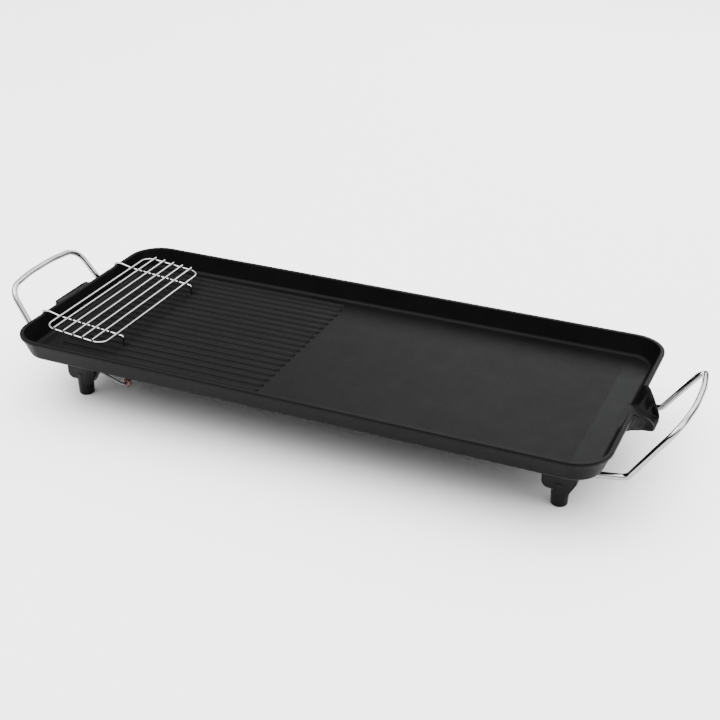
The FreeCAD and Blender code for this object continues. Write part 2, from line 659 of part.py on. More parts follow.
def cylinder(name, size, length, x="0", y="0", z="0", turn=None):
    piece = document.addObject("Part::Cylinder", name)
    piece.setExpression("Radius", full(f"({size}) / 2"))
    piece.setExpression("Height", full(length))
    return place(piece, x, y, z, turn)


def screw(name, size, head, head_height, length, x, y, z):
    """A cross-head screw that points up, with the underside of its head at height z."""
    shank = cylinder(name + "Shank", size, length)
    cap = cylinder(name + "Head", head, head_height, z=f"0 - {head_height}")
    solid = document.addObject("Part::Fuse", name + "Solid")
    solid.Base, solid.Tool = shank, cap
    slots = []
    span = f"({head} * slot_share)"
    for mark, wide, deep in (("A", span, "slot_width"), ("B", "slot_width", span)):
        slot = document.addObject("Part::Box", name + "Slot" + mark)
        slot.setExpression("Length", full(wide))
        slot.setExpression("Width", full(deep))
        slot.setExpression("Height", full(f"{head_height} * slot_depth"))
        slots.append(place(slot, f"0 - {wide} / 2", f"0 - {deep} / 2", f"0 - {head_height}"))
    cross = document.addObject("Part::MultiFuse", name + "Cross")
    cross.Shapes = slots
    whole = document.addObject("Part::Cut", name)
    whole.Base, whole.Tool = solid, cross
    return place(whole, x, y, z)


def small_screw(name, length, x, y, z):
    """One of the short screws that hold the socket and the stand's brackets."""
    return screw(name, "small_screw - thread_play", "small_head", "small_head_height", length,
                 x, y, z)


def washer(name, outer, inner, thick, x, y, z):
    ring = document.addObject("Part::Cut", name)
    ring.Base = cylinder(name + "Disc", outer, thick)
    ring.Tool = cylinder(name + "Hole", inner, f"{thick} + 2", z="0 - 1")
    return place(ring, x, y, z)


def make_fasteners():
    """Screws, washers and cross pins, one node for each kind."""
    screws, washers, pins = [], [], []
    for side_x, name_x in (("", "Right"), ("0 - ", "Left")):
        for side_y, name_y in (("", "Rear"), ("0 - ", "Front")):
            name = name_x + name_y
            x, y = side_x + leg_x, side_y + leg_y
            seat = "screw_recess - washer_thick"
            washers.append(washer(name + "Washer", "washer_size", "screw_size + hole_play",
                                  "washer_thick", x, y, seat))
            reach = f"{underside} - boss_length + thread_bite - screw_recess + washer_thick"
            screws.append(screw(name + "Screw", "screw_size - thread_play", "screw_head",
                                "screw_head_height", reach, x, y, seat))
            pins.append(cylinder(name + "Pin", "pin_size", "leg_depth - 1",
                                 f"{side_x}({leg_x} + leg_width / 2 - pin_inset)",
                                 f"{y} + (leg_depth - 1) / 2", "rod_height",
                                 Rotation(Vector(1, 0, 0), 90)))
    keep(compound("LegScrews", screws), "leg_screws")
    keep(compound("LegWashers", washers), "leg_washers")
    keep(compound("HandlePins", pins), "handle_pins")
    small = []
    for side_y, name in (("", "Rear"), ("0 - ", "Front")):
        small.append(small_screw("Socket" + name + "Screw", "ear_thick + small_bite - thread_play",
                                 ear_x, side_y + socket_screw_y, f"{underside} - ear_thick"))
    keep(compound("SocketScrews", small), "socket_screws")


# ---------------------------------------------------------------- handles

def make_handle(label, side):
    """A bent rod from one leg block up and out to the grip, and back down to the other block."""
    face = value(f"{leg_x} + leg_width / 2")
    seat = face - value("rod_seat - rod_gap")
    low, high = value("rod_height"), value("grip_height")
    elbow = value(f"{end_x} + handle_elbow")
    grip = value(f"{end_x} + handle_reach")
    reach_y, elbow_y, grip_y = value(leg_y), value("elbow_spread / 2"), value("grip_width / 2")
    bow = value("grip_bow")
    half = [(seat, reach_y, low), (face + value("rod_size"), reach_y, low), (elbow, elbow_y, low),
            (grip, grip_y, high), (grip + bow, grip_y / 3, high + bow / 3)]
    points = [(side * x, -y, z) for x, y, z in half]
    points += [(side * x, y, z) for x, y, z in reversed(half)]
    elbow_bend = value("elbow_bend")
    bends = [0.0, elbow_bend, elbow_bend, value("grip_bend"), value("bow_bend")]
    bar = rod(points, value("rod_size"), bends + bends[::-1])
    for side_y in (-1, 1):
        hole = Part.makeCylinder(value("pin_size / 2 + pin_fit"), value("leg_depth"),
                                 Vector(side * value(f"{leg_x} + leg_width / 2 - pin_inset"),
                                        side_y * reach_y - value("leg_depth") / 2, low),
                                 Vector(0, 1, 0))
        bar = bar.cut(hole)
    keep(shaped(label.title().replace("_", ""), bar), label)


# ---------------------------------------------------------------- rack

def make_rack():
    """A welded wire rack: bars on a frame on two rails that hook over the left rim."""
    wire, sink = value("wire_size"), value("weld_sink")
    left = -value(end_x) + value("rack_inset")
    width, length = value("rack_width"), value("rack_length")
    fall = math.atan2(value("rack_drop"), width)
    top = value("rim_height + rack_above")
    tilt = Rotation(Vector(0, 1, 0), math.degrees(fall))

    def on_rack(along, across, lift):
        return Vector(left, 0, top) + tilt.multVec(Vector(along, across, lift))

    corners = [on_rack(along, across, 0) for along, across in
               ((0, -length / 2), (width, -length / 2), (width, length / 2), (0, length / 2))]
    frame = rod(corners, wire, value("rack_corner"), closed=True)
    keep(shaped("RackFrame", frame), "rack_frame")

    count = int(value("bar_count"))
    step = width / (count + 1)
    half_bar = length / 2 + value("bar_overhang")
    bars = []
    for index in range(1, count + 1):
        start = on_rack(index * step, -half_bar, wire - sink)
        bars.append(Part.makeCylinder(wire / 2, 2 * half_bar, start, Vector(0, 1, 0)))
    keep(shaped("RackBars", Part.makeCompound(bars)), "rack_bars")

    clear = value("rack_clear") + wire / 2
    over = value("rim_height") + clear
    hook_x = -value(end_x) - clear
    floor = value(floor_level) + value("rack_clear")
    for side, label in ((-1, "rack_front_rail"), (1, "rack_rear_rail")):
        y = side * value("rail_steps * ridge_pitch / 2")
        near = on_rack(-value("hook_run"), 0, sink - wire)
        far = on_rack(width + value("rack_leg_gap"), 0, sink - wire)
        route = [(hook_x, y, over - value("hook_drop")), (hook_x, y, over),
                 (-value(end_x) + value("lip_width + hook_lap"), y, over), (near.x, y, near.z),
                 (far.x, y, far.z), (far.x, y, floor)]
        rail = rod(route, wire, value("wire_bend"))
        keep(shaped(label.title().replace("_", ""), rail), label)


# ---------------------------------------------------------------- tilt stand

def make_stand():
    """A wire U hinged under the left end, with a silicone bead at each end of its crossbar."""
    sag = math.radians(value("stand_sag"))
    arm, half = value("stand_arm"), value("stand_width") / 2
    pivot = Vector(value(stand_x), 0, value("stand_height"))
    toe = pivot + Vector(arm * math.cos(sag), 0, -arm * math.sin(sag))
    inner = half - value("stand_pin")
    points = [(pivot.x, -inner, pivot.z), (pivot.x, -half, pivot.z), (toe.x, -half, toe.z)]
    points += [(x, -y, z) for x, y, z in reversed(points)]
    keep(shaped("TiltStand", rod(points, value("stand_wire"), value("stand_bend"))), "tilt_stand")

    beads, brackets, screws = [], [], []
    for side_y, name in (("", "Rear"), ("0 - ", "Front")):
        bead = new_body(name + "Bead")
        ring = new_sketch(bead, name + "BeadRing", "XZ_Plane")
        circle(ring, "bead_size")
        pad(bead, ring, "bead_length", middle=True)
        fillet(bead, name + "BeadRound", "bead_round", lambda edge: edge.BoundBox.XLength > 1)
        bore = new_sketch(bead, name + "BeadBore", "XZ_Plane")
        circle(bore, "stand_wire + 2 * stand_fit")
        pocket(bead, bore, "bead_length + 2", middle=True)
        reach_x = "stand_arm * cos(stand_sag * 1deg)"
        reach_z = "stand_arm * sin(stand_sag * 1deg)"
        place(bead, f"{stand_x} + {reach_x}", side_y + bead_y, f"stand_height - {reach_z}")
        beads.append(bead)
        brackets.append(make_bracket(name, side_y))
        screws.append(small_screw("Bracket" + name + "Screw", "bracket_thick + bracket_pad",
                                  stand_x, f"{side_y}{bracket_screw_y}",
                                  f"{underside} - bracket_pad - bracket_thick"))
    keep(compound("StandBeads", beads), "stand_beads")
    keep(compound("StandBrackets", brackets), "stand_brackets")
    keep(compound("BracketScrews", screws), "bracket_screws")


def make_bracket(name, side_y):
    """A steel angle: a foot screwed under the tray and an ear that carries the stand's end."""
    body = new_body(name + "Bracket")
    side = new_sketch(body, name + "BracketSide", "YZ_Plane")
    top = f"({underside} - bracket_pad)"
    inner, outer = f"({ear_y} - bracket_thick)", f"({ear_y} + bracket_foot)"
    low = "stand_height - bracket_drop"
    polygon(side, [(inner, top), (inner, low), (ear_y, low), (ear_y, f"{top} - bracket_thick"),
                   (outer, f"{top} - bracket_thick"), (outer, top)])
    pad(body, side, "bracket_width", middle=True)
    hinge = new_sketch(body, name + "HingeHole", "XZ_Plane", f"bracket_thick / 2 - {ear_y}")
    circle(hinge, "stand_wire + 2 * stand_fit", "0", "stand_height")
    pocket(body, hinge, "bracket_thick + 2", middle=True)
    hole = new_sketch(body, name + "FootHole", "XY_Plane", f"{top} - bracket_thick - 1")
    circle(hole, "small_screw + hole_play", "0", bracket_screw_y)
    pocket(body, hole, "bracket_thick + 2", reverse=True)
    turn = Rotation(Vector(0, 0, 1), 180) if side_y else None
    return place(body, stand_x, "0", "0", turn)


# ---------------------------------------------------------------- build, check and export

make_griddle_plate()
make_heater()
make_socket()
for name_x, side_x in (("left", "0 - "), ("right", "")):
    for name_y, side_y in (("front", "0 - "), ("rear", "")):
        make_leg(f"{name_x}_{name_y}_leg", side_x, side_y)
make_fasteners()
make_handle("left_handle", -1)
make_handle("right_handle", 1)
make_rack()
make_stand()
document.recompute()

for item in document.Objects:
    if "Invalid" in item.State or "Error" in item.State:
        raise RuntimeError(f"{item.Name} failed: {item.State}")
os.makedirs("parts", exist_ok=True)
for piece in nodes:
    if piece.Shape.isNull() or not piece.Shape.isValid():
        raise RuntimeError(f"{piece.Label} has no valid shape")
    piece.Shape.exportStep(f"parts/{piece.Label}.step")
    print(f"{piece.Label}: {len(piece.Shape.Solids)} solids, {piece.Shape.Volume / 1000:.2f} cm3")
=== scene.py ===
import json
import math

import bmesh
import bpy
from mathutils import Matrix, Vector


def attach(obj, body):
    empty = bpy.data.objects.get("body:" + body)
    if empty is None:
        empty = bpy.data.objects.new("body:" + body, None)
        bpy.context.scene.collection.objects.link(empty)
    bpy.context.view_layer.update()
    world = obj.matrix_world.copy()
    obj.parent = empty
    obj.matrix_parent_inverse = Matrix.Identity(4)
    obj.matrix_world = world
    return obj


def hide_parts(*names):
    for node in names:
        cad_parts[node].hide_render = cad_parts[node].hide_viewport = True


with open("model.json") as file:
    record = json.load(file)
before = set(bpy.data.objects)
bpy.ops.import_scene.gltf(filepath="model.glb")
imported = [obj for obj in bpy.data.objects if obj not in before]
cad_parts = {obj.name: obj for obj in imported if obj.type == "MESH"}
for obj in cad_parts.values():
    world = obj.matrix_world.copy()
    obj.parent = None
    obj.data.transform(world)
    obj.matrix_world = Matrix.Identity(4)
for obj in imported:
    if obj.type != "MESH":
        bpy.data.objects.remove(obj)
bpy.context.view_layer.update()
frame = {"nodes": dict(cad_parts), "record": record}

print("frame loaded:", len(frame["nodes"]), "nodes")

mm = 0.001


# camera, floor and studio light, in metres and degrees

studio = {
    "cameraPlace": (0.5170, -1.1084, 0.7044),
    "cameraTurn": (62.17, 0.0, 23.92),
    "lens": 65.53,
    "sensor": 36.0,
    "floorSize": 30.0,
    "floorColour": (0.93, 0.93, 0.935),
    "floorRoughness": 0.75,
    "skyColour": (1.0, 1.0, 1.0),
    "skyLow": 0.05,     # strength near the horizon
    "skyHigh": 7.0,     # strength overhead
    "skySeen": 1.75,    # strength of the plain backdrop past the floor's edge
    "skyStart": 0.30,   # height where the bright part of the sky starts, from 0 to 1
}

# each light: name, place, aim, width and depth, power in watts, colour
softBoxes = [
    ("keyBox", (-0.9, -0.6, 1.9), (0.0, 0.0, 0.05), (1.5, 1.1), 34.0, (1.0, 0.99, 0.97)),
    ("backBox", (0.2, 1.9, 1.1), (0.0, 0.0, 0.06), (2.4, 0.8), 26.0, (0.97, 0.985, 1.0)),
    ("sideBox", (1.7, -0.2, 0.9), (0.1, 0.0, 0.05), (0.9, 0.9), 9.0, (1.0, 1.0, 1.0)),
]


def makeCamera():
    data = bpy.data.cameras.new("tableView")
    data.lens = studio["lens"]
    data.sensor_width = studio["sensor"]
    camera = bpy.data.objects.new("tableView", data)
    camera.location = studio["cameraPlace"]
    camera.rotation_euler = [math.radians(angle) for angle in studio["cameraTurn"]]
    bpy.context.scene.collection.objects.link(camera)
    bpy.context.scene.camera = camera


def makeSoftBox(name, place, aim, size, power, colour):
    data = bpy.data.lights.new(name, "AREA")
    data.shape = "RECTANGLE"
    data.size, data.size_y = size
    data.energy = power
    data.color = colour
    light = bpy.data.objects.new(name, data)
    light.location = place
    light.rotation_euler = (Vector(aim) - Vector(place)).to_track_quat("-Z", "Y").to_euler()
    bpy.context.scene.collection.objects.link(light)


def makeFloor():
    half = studio["floorSize"] / 2
    mesh = bpy.data.meshes.new("paleFloor")
    mesh.from_pydata([(-half, -half, 0), (half, -half, 0), (half, half, 0), (-half, half, 0)],
                     [], [(0, 1, 2, 3)])
    floor = bpy.data.objects.new("paleFloor", mesh)
    bpy.context.scene.collection.objects.link(floor)
    paint = bpy.data.materials.new("palePaper")
    paint.use_nodes = True
    shader = paint.node_tree.nodes["Principled BSDF"]
    shader.inputs["Base Color"].default_value = (*studio["floorColour"], 1.0)
    shader.inputs["Roughness"].default_value = studio["floorRoughness"]
    floor.data.materials.append(paint)


def makeSky():
    # dark near the horizon and bright overhead, with a plain backdrop behind the floor
    world = bpy.data.worlds.new("studioAir")
    world.use_nodes = True
    air = world.node_tree
    sky = air.nodes["Background"]
    sky.inputs["Color"].default_value = (*studio["skyColour"], 1.0)
    direction = air.nodes.new("ShaderNodeTexCoord").outputs["Generated"]
    parts = air.nodes.new("ShaderNodeSeparateXYZ")
    ramp = air.nodes.new("ShaderNodeMapRange")
    ramp.inputs["From Min"].default_value = studio["skyStart"]
    ramp.inputs["To Min"].default_value = studio["skyLow"]
    ramp.inputs["To Max"].default_value = studio["skyHigh"]
    air.links.new(direction, parts.inputs["Vector"])
    air.links.new(parts.outputs["Z"], ramp.inputs["Value"])
    seen = air.nodes.new("ShaderNodeMix")
    seen.inputs["B"].default_value = studio["skySeen"]
    rays = air.nodes.new("ShaderNodeLightPath")
    air.links.new(rays.outputs["Is Camera Ray"], seen.inputs["Factor"])
    air.links.new(ramp.outputs["Result"], seen.inputs["A"])
    air.links.new(seen.outputs["Result"], sky.inputs["Strength"])
    bpy.context.scene.world = world


makeCamera()
for box in softBoxes:
    makeSoftBox(*box)
makeFloor()
makeSky()
print("studio ready")


# finishes

class Finish:
    # a material with short ways to add nodes that read Object coordinates

    def __init__(self, name, metallic=0.0):
        self.material = bpy.data.materials.new(name)
        self.material.use_nodes = True
        self.tree = self.material.node_tree
        self.shader = self.tree.nodes["Principled BSDF"]
        self.shader.inputs["Metallic"].default_value = metallic
        self.object = self.tree.nodes.new("ShaderNodeTexCoord").outputs["Object"]

    def add(self, kind, settings=None, **links):
        node = self.tree.nodes.new("ShaderNode" + kind)
        for key, value in (settings or {}).items():
            if key in node.inputs:
                node.inputs[key].default_value = value
            else:
                setattr(node, key, value)
        for key, source in links.items():
            self.link(source, node.inputs[key.replace("_", " ")])
        return node

    def link(self, source, target):
        self.tree.links.new(source, target)

    def noise(self, scale, detail, at=None):
        node = self.add("TexNoise", {"Scale": scale, "Detail": detail})
        self.link(at or self.object, node.inputs["Vector"])
        return node.outputs["Fac"]

    def maths(self, operation, first, second=0.0):
        node = self.add("Math", {"operation": operation})
        for index, value in enumerate((first, second)):
            if isinstance(value, (int, float)):
                node.inputs[index].default_value = value
            else:
                self.link(value, node.inputs[index])
        return node.outputs[0]

    def range(self, source, span, target):
        node = self.add("MapRange", {"From Min": span[0], "From Max": span[1],
                                     "To Min": target[0], "To Max": target[1]})
        self.link(source, node.inputs["Value"])
        return node.outputs["Result"]

    def blendColour(self, factor, first, second):
        node = self.add("Mix", {"data_type": "RGBA"})
        self.link(factor, node.inputs["Factor"])
        for name, value in (("A", first), ("B", second)):
            socket = next(s for s in node.inputs if s.name == name and s.type == "RGBA")
            if isinstance(value, tuple):
                socket.default_value = (*value, 1.0)
            else:
                self.link(value, socket)
        return next(s for s in node.outputs if s.type == "RGBA")

    def colour(self, source):
        self.link(source, self.shader.inputs["Base Color"])

    def roughness(self, source, target):
        # target is the roughness at the noise's low and high values
        self.link(self.range(source, noiseSpread, target), self.shader.inputs["Roughness"])

    def bump(self, height, strength, distance, under=None):
        node = self.add("Bump", {"Strength": strength, "Distance": distance})
        self.link(height, node.inputs["Height"])
        if under:
            self.link(under, node.inputs["Normal"])
        self.link(node.outputs["Normal"], self.shader.inputs["Normal"])
        return node.outputs["Normal"]

    def mottle(self, look):
        # a cloudy tone between dark and light, uneven gloss and a fine grain
        cloud = self.noise(*look["cloud"])
        self.colour(self.blendColour(cloud, look["dark"], look["light"]))
        self.roughness(self.noise(*look["smudge"]), look["roughness"])
        self.bump(self.noise(*look["grain"]), *look["grainBump"])


noiseSpread = (0.3, 0.7)     # most of a noise lies between these

# below, a noise is given as (scale, detail) and a bump as (strength, height)

coat = {
    "dark": (0.0013, 0.0013, 0.0014),
    "light": (0.0018, 0.0018, 0.0020),
    "fleck": (0.010, 0.010, 0.0105),
    "roughness": (0.40, 0.46),
    "specular": 0.040,
    "cloud": (28.0, 3.0),
    "cloudSpan": (0.35, 0.65),
    "speck": (2600.0, 1.0),
    "speckSpan": (0.66, 0.74),
    "speckBlend": (0.0, 0.55),
    "smudge": (55.0, 4.0),
    "spray": (1500.0, 2.0),
    "sprayBump": (0.22, 0.12 * mm),
    "knurlPitch": 3.0 * mm,
    "knurlX": (-46.0 * mm, 281.0 * mm),
    "knurlY": 112.0 * mm,
    "knurlZ": 63.2 * mm,     # the knurl is only above this height
    "knurlBump": (0.55, 0.30 * mm),
}


def knurlHeight(finish):
    # diamonds where two sets of ribs cross, inside the flat field only
    place = finish.add("SeparateXYZ", Vector=finish.object)
    x, y, z = (place.outputs[axis] for axis in "XYZ")
    turns = math.pi / coat["knurlPitch"]
    ribs = []
    for slant in ("ADD", "SUBTRACT"):
        wave = finish.maths("MULTIPLY", finish.maths(slant, x, y), turns)
        ribs.append(finish.maths("ABSOLUTE", finish.maths("SINE", wave)))
    left, right = coat["knurlX"]
    height = finish.maths("MULTIPLY", *ribs)
    for test, value, limit in (("GREATER_THAN", x, left), ("LESS_THAN", x, right),
                               ("LESS_THAN", finish.maths("ABSOLUTE", y), coat["knurlY"]),
                               ("GREATER_THAN", z, coat["knurlZ"])):
        height = finish.maths("MULTIPLY", height, finish.maths(test, value, limit))
    return height


def makeNonstickCoat():
    finish = Finish("nonstickCoat")
    finish.shader.inputs["Specular IOR Level"].default_value = coat["specular"]
    cloud = finish.range(finish.noise(*coat["cloud"]), coat["cloudSpan"], (0.0, 1.0))
    tone = finish.blendColour(cloud, coat["dark"], coat["light"])
    speck = finish.range(finish.noise(*coat["speck"]), coat["speckSpan"], coat["speckBlend"])
    finish.colour(finish.blendColour(speck, tone, coat["fleck"]))
    finish.roughness(finish.noise(*coat["smudge"]), coat["roughness"])
    sprayed = finish.bump(finish.noise(*coat["spray"]), *coat["sprayBump"])
    finish.bump(knurlHeight(finish), *coat["knurlBump"], under=sprayed)
    return finish.material


moulding = {
    "dark": (0.0022, 0.0022, 0.0024),
    "light": (0.0045, 0.0045, 0.0047),
    "roughness": (0.28, 0.42),
    "specular": 0.12,
    "cloud": (90.0, 3.0),
    "smudge": (160.0, 3.0),
    "grain": (1100.0, 2.0),
    "grainBump": (0.18, 0.08 * mm),
}


def makeHeatproofMoulding():
    finish = Finish("heatproofMoulding")
    finish.shader.inputs["Specular IOR Level"].default_value = moulding["specular"]
    finish.mottle(moulding)
    return finish.material


plating = {
    "dark": (0.26, 0.26, 0.265),
    "light": (0.33, 0.33, 0.335),
    "roughness": (0.05, 0.14),
    "cloud": (70.0, 4.0),
    "smudge": (240.0, 3.0),
    "grain": (700.0, 2.0),
    "grainBump": (0.05, 0.05 * mm),
}


def makeBrightPlate():
    finish = Finish("brightPlate", metallic=1.0)
    finish.mottle(plating)
    return finish.material


# drawn steel runs in streaks along x; each kind has a dark tone, a light tone and its roughness
drawing = {
    "stretch": (1.0, 12.0, 12.0),
    "streak": (110.0, 4.0),
    "grain": (900.0, 2.0),
    "grainBump": (0.08, 0.05 * mm),
}

steels = {
    "heaterSheath": ((0.20, 0.19, 0.18), (0.34, 0.33, 0.31), (0.35, 0.55)),
    "pinSteel": ((0.56, 0.55, 0.53), (0.72, 0.71, 0.69), (0.18, 0.3)),
    "zincPlate": ((0.46, 0.46, 0.46), (0.62, 0.62, 0.63), (0.25, 0.4)),
    "standWire": ((0.10, 0.10, 0.103), (0.17, 0.17, 0.173), (0.2, 0.34)),
}


def makeDrawnSteel(name):
    dark, light, roughness = steels[name]
    finish = Finish(name, metallic=1.0)
    stretched = finish.add("Mapping", {"Scale": drawing["stretch"]}, Vector=finish.object)
    streak = finish.noise(*drawing["streak"], at=stretched.outputs["Vector"])
    finish.colour(finish.blendColour(streak, dark, light))
    finish.roughness(streak, roughness)
    finish.bump(finish.noise(*drawing["grain"]), *drawing["grainBump"])
    return finish.material


clay = {
    "dark": (0.70, 0.66, 0.58),
    "light": (0.84, 0.82, 0.77),
    "roughness": (0.6, 0.8),
    "cloud": (260.0, 4.0),
    "smudge": (300.0, 2.0),
    "grain": (1300.0, 3.0),
    "grainBump": (0.25, 0.1 * mm),
}


def makeFiredClay():
    finish = Finish("firedClay")
    finish.mottle(clay)
    return finish.material


silicone = {
    "dark": (0.042, 0.0015, 0.0025),
    "light": (0.070, 0.003, 0.004),
    "roughness": (0.27, 0.42),
    "coatWeight": 0.25,
    "coatRoughness": 0.2,
    "cloud": (320.0, 3.0),
    "smudge": (420.0, 2.0),
    "grain": (1500.0, 2.0),
    "grainBump": (0.12, 0.06 * mm),
}


def makeRedSilicone():
    finish = Finish("redSilicone")
    finish.mottle(silicone)
    finish.shader.inputs["Coat Weight"].default_value = silicone["coatWeight"]
    finish.shader.inputs["Coat Roughness"].default_value = silicone["coatRoughness"]
    return finish.material


finishes = {
    "nonstick": makeNonstickCoat(),
    "phenolic": makeHeatproofMoulding(),
    "chrome_rod": makeBrightPlate(),
    "heater_sheath": makeDrawnSteel("heaterSheath"),
    "pin_steel": makeDrawnSteel("pinSteel"),
    "fastener_steel": makeDrawnSteel("zincPlate"),
    "stand_steel": makeDrawnSteel("standWire"),
    "ceramic": makeFiredClay(),
    "silicone": makeRedSilicone(),
}
print("finishes ready:", len(finishes))


# carried-over pieces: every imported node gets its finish

slotOf = {row["node"]: row["material_slot"] for row in frame["record"]["subparts"]}

for nodeName, node in frame["nodes"].items():
    node.data.materials.clear()
    node.data.materials.append(finishes[slotOf[nodeName]])


def bodyOf(nodeName):
    return next(body for body, members in frame["record"]["behaviour"]["bodies"].items()
                if nodeName in members)


def finishPiece(piece, nodeNames):
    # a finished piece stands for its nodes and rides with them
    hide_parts(*nodeNames)
    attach(piece, bodyOf(nodeNames[0]))


smoothing = {
    "weld": 0.002 * mm,
    "sharpAngle": math.radians(44.0),
    "largeFaceWeight": 80,
}


def smoothCopy(nodeName, pieceName):
    # the node's own shape with joined faces, so that its curves shade smoothly
    mesh = frame["nodes"][nodeName].data.copy()
    mesh.name = pieceName
    form = bmesh.new()
    form.from_mesh(mesh)
    bmesh.ops.remove_doubles(form, verts=form.verts, dist=smoothing["weld"])
    bmesh.ops.dissolve_degenerate(form, edges=form.edges, dist=smoothing["weld"] / 2)
    form.to_mesh(mesh)
    form.free()
    mesh.polygons.foreach_set("use_smooth", [True] * len(mesh.polygons))
    mesh.set_sharp_from_angle(angle=smoothing["sharpAngle"])
    piece = bpy.data.objects.new(pieceName, mesh)
    bpy.context.scene.collection.objects.link(piece)
    weighted = piece.modifiers.new("evenNormals", "WEIGHTED_NORMAL")
    weighted.keep_sharp = True
    weighted.weight = smoothing["largeFaceWeight"]
    finishPiece(piece, [nodeName])


smoothPieces = {
    "griddle_plate": "castTray",
    "socket_housing": "socketShell",
    "left_front_leg": "legLeftFront",
    "left_rear_leg": "legLeftRear",
    "right_front_leg": "legRightFront",
    "right_rear_leg": "legRightRear",
    "probe_sleeve": "probeSleeveTube",
    "terminal_pins": "terminalPinPair",
    "terminal_bushes": "clayBushes",
    "leg_screws": "legScrewSet",
    "leg_washers": "legWasherSet",
    "socket_screws": "socketScrewPair",
    "stand_brackets": "standBracketPair",
    "bracket_screws": "bracketScrewPair",
}

for nodeName, pieceName in smoothPieces.items():
    smoothCopy(nodeName, pieceName)
print("smooth pieces ready:", len(smoothPieces))


# bent rods and wires: each recipe rounds a path's corners and gives it a round section

class Recipe:
    # a Geometry Nodes tree with named sizes and short ways to add and join its nodes

    def __init__(self, name, sizes):
        self.tree = bpy.data.node_groups.new(name, "GeometryNodeTree")
        self.socket("Path", "NodeSocketGeometry")
        for label, value in sizes.items():
            kind = {int: "NodeSocketInt", float: "NodeSocketFloat"}.get(type(value), "NodeSocketVector")
            self.socket(label, kind).default_value = value
        self.socket("Finish", "NodeSocketMaterial")
        self.tree.interface.new_socket("Shape", in_out="OUTPUT", socket_type="NodeSocketGeometry")
        self.given = self.tree.nodes.new("NodeGroupInput").outputs

    def socket(self, label, kind):
        return self.tree.interface.new_socket(label, in_out="INPUT", socket_type=kind)

    def add(self, kind, settings=None, **inputs):
        node = self.tree.nodes.new(kind)
        for key, value in (settings or {}).items():
            setattr(node, key, value)
        for key, source in inputs.items():
            target = node.inputs[key.replace("_", " ")]
            if isinstance(source, bpy.types.NodeSocket):
                self.tree.links.new(source, target)
            else:
                target.default_value = source
        return node.outputs[0]

    def maths(self, operation, first, second):
        node = self.tree.nodes.new("ShaderNodeMath")
        node.operation = operation
        for target, source in zip(node.inputs, (first, second)):
            if isinstance(source, bpy.types.NodeSocket):
                self.tree.links.new(source, target)
            else:
                target.default_value = source
        return node.outputs[0]

    def join(self, *shapes):
        node = self.tree.nodes.new("GeometryNodeJoinGeometry")
        for shape in shapes:
            self.tree.links.new(shape, node.inputs["Geometry"])
        return node.outputs["Geometry"]

    def wireAlongPath(self):
        path = self.add("GeometryNodeMeshToCurve", Mesh=self.given["Path"])
        bend = self.add("GeometryNodeInputNamedAttribute", {"data_type": "FLOAT"}, Name="bend")
        rounded = self.add("GeometryNodeFilletCurve", {"mode": "POLY"}, Curve=path, Radius=bend,
                           Count=self.given["Bend Steps"], Limit_Radius=True)
        ring = self.add("GeometryNodeCurvePrimitiveCircle", Resolution=self.given["Sides"],
                        Radius=self.maths("DIVIDE", self.given["Wire Size"], 2.0))
        return self.add("GeometryNodeCurveToMesh", Curve=rounded, Profile_Curve=ring, Fill_Caps=True)

    def close(self, shape):
        smooth = self.add("GeometryNodeSetShadeSmooth", Geometry=shape)
        real = self.add("GeometryNodeRealizeInstances", Geometry=smooth)
        painted = self.add("GeometryNodeSetMaterial", Geometry=real, Material=self.given["Finish"])
        result = self.tree.nodes.new("NodeGroupOutput")
        self.tree.links.new(painted, result.inputs["Shape"])


def pathMesh(name, routes):
    # routes hold (point, bend radius) pairs in millimetres, and say whether they close
    mesh = bpy.data.meshes.new(name)
    points, edges, bends = [], [], []
    for route, closed in routes:
        first, count = len(points), len(route)
        points += [Vector(point) * mm for point, bend in route]
        bends += [bend * mm for point, bend in route]
        edges += [(first + index, first + index + 1) for index in range(count - 1)]
        if closed:
            edges.append((first + count - 1, first))
    mesh.from_pydata(points, edges, [])
    mesh.attributes.new("bend", "FLOAT", "POINT").data.foreach_set("value", bends)
    return mesh


def growPiece(recipe, path, sizes, pieceName, nodeNames):
    # runs the recipe on the path and keeps the result as a plain mesh
    piece = bpy.data.objects.new(pieceName, path)
    bpy.context.scene.collection.objects.link(piece)
    modifier = piece.modifiers.new("recipe", "NODES")
    modifier.node_group = recipe.tree
    slotName = slotOf[nodeNames[0]]
    given = {**sizes, "Finish": finishes[slotName]}
    for item in recipe.tree.interface.items_tree:
        if item.in_out == "INPUT" and item.name in given:
            modifier[item.identifier] = given[item.name]
    evaluated = piece.evaluated_get(bpy.context.evaluated_depsgraph_get())
    grown = bpy.data.meshes.new_from_object(evaluated)
    piece.modifiers.remove(modifier)
    piece.data = grown
    grown.name = pieceName
    grown.set_sharp_from_angle(angle=smoothing["sharpAngle"])
    finishPiece(piece, nodeNames)
    print(pieceName, "grown:", len(grown.polygons), "faces")


def wireSizes(part):
    return {"Wire Size": part["wire"] * mm, "Sides": part["sides"], "Bend Steps": part["bendSteps"]}


def makeBentWireRecipe(sizes):
    recipe = Recipe("bentWire", sizes)
    recipe.close(recipe.wireAlongPath())
    return recipe


# from here on a piece's sizes are in millimetres
# handles: from the leg block out, up to the grip and back

handle = {
    "wire": 6.5, "sides": 28, "bendSteps": 12,
    "seatX": 273.8, "faceX": 292.0, "blockY": 78.7,     # in the leg block and out of its face
    "elbowX": 327.8, "elbowY": 70.0,                    # where the rod turns up
    "gripX": 369.0, "gripY": 62.0,
    "bow": 5.5, "bowShare": 3,     # the grip's middle third stands out by the bow
    "lowZ": 39.5, "highZ": 98.0,
    "elbowBend": 9.0, "gripBend": 20.0, "bowBend": 160.0,
}


